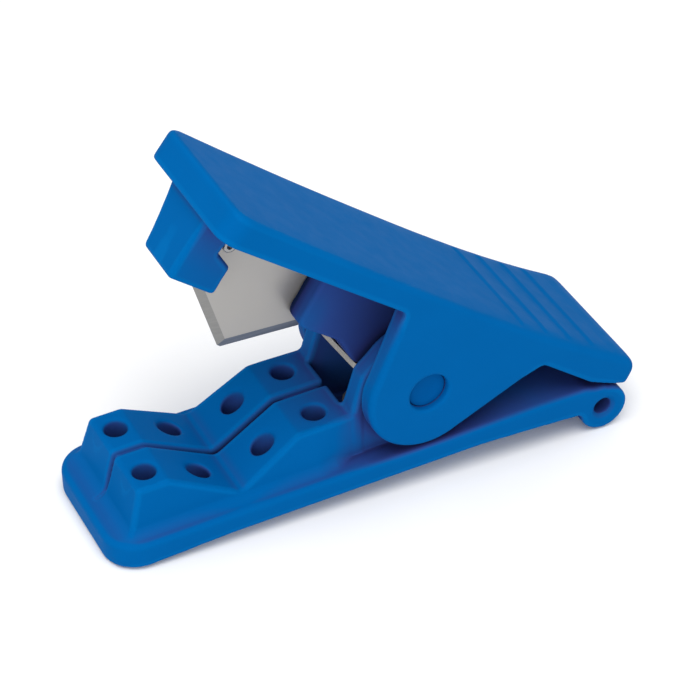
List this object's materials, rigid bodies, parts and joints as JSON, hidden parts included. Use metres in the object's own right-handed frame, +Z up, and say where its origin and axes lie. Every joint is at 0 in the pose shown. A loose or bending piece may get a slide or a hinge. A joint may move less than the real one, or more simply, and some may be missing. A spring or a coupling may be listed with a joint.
{
  "type": "tube cutter",
  "caption": "Pocket cutter for small plastic tubing, with a V-shaped tube seat in the base and a pointed steel blade under a sprung thumb lever.",
  "frame": {"origin": "on the underside of the base plate, straight below the pivot axis", "axes": "+X from the jaws to the tail, +Y across the tool, +Z up out of the plate's top; the lever is in its sprung-open rest pose"},
  "size_m": [0.0793, 0.023, 0.0552],
  "materials": {
    "blue_plastic": "satin moulded blue plastic",
    "blade_steel": "fine ground steel",
    "spring_steel": "bright rolled steel"
  },
  "bodies": {
    "base": {"base_jaw": "blue_plastic", "pivot_pin": "blue_plastic", "leaf_spring": "spring_steel"},
    "lever": {"lever": "blue_plastic", "blade": "blade_steel", "blade_eyelet": "spring_steel"}
  },
  "joints": [
    {"name": "lever_hinge", "type": "hinge", "parent": "base", "child": "lever", "pos_m": [0, 0, 0.0125], "axis": [0, -1, 0], "range_deg": [0, 42], "stiffness_Nm_per_rad": 0.2, "springref_deg": -14.32, "deforming": ["leaf_spring"]}
  ]
}
